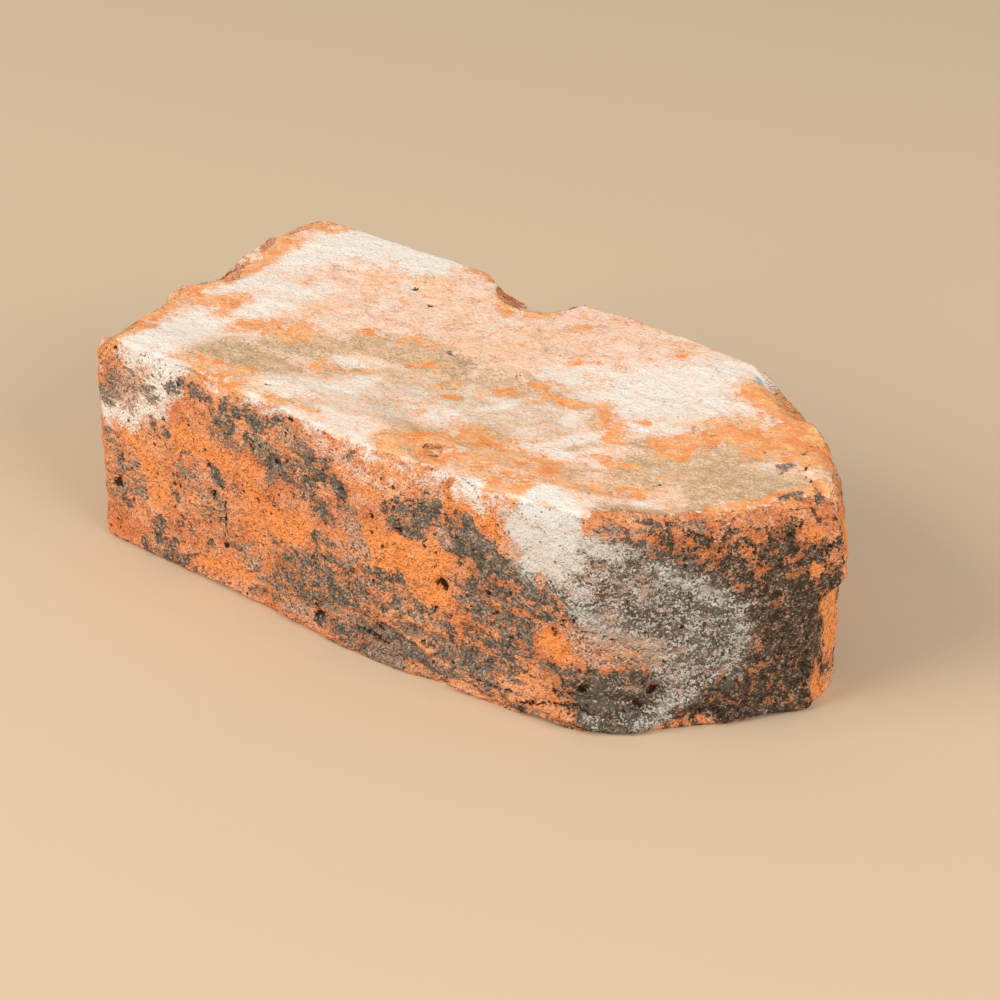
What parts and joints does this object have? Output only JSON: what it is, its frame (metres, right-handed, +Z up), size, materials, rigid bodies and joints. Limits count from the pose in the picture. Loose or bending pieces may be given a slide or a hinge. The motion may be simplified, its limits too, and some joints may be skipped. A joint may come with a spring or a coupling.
{
  "type": "clay brick",
  "caption": "Old hand-made solid clay brick, square at one end and cut to a right-angled point by two cants at the other, with worn and broken arrises.",
  "frame": {"origin": "middle of the bottom of the bounding box, on the floor the brick lies on", "axes": "+X from the square header to the point, +Y from the fair stretcher face to the back one, +Z up"},
  "size_m": [0.232, 0.1132, 0.0685],
  "materials": {
    "fired_clay": "matte"
  },
  "bodies": {
    "root": {"brick": "fired_clay"}
  },
  "joints": []
}
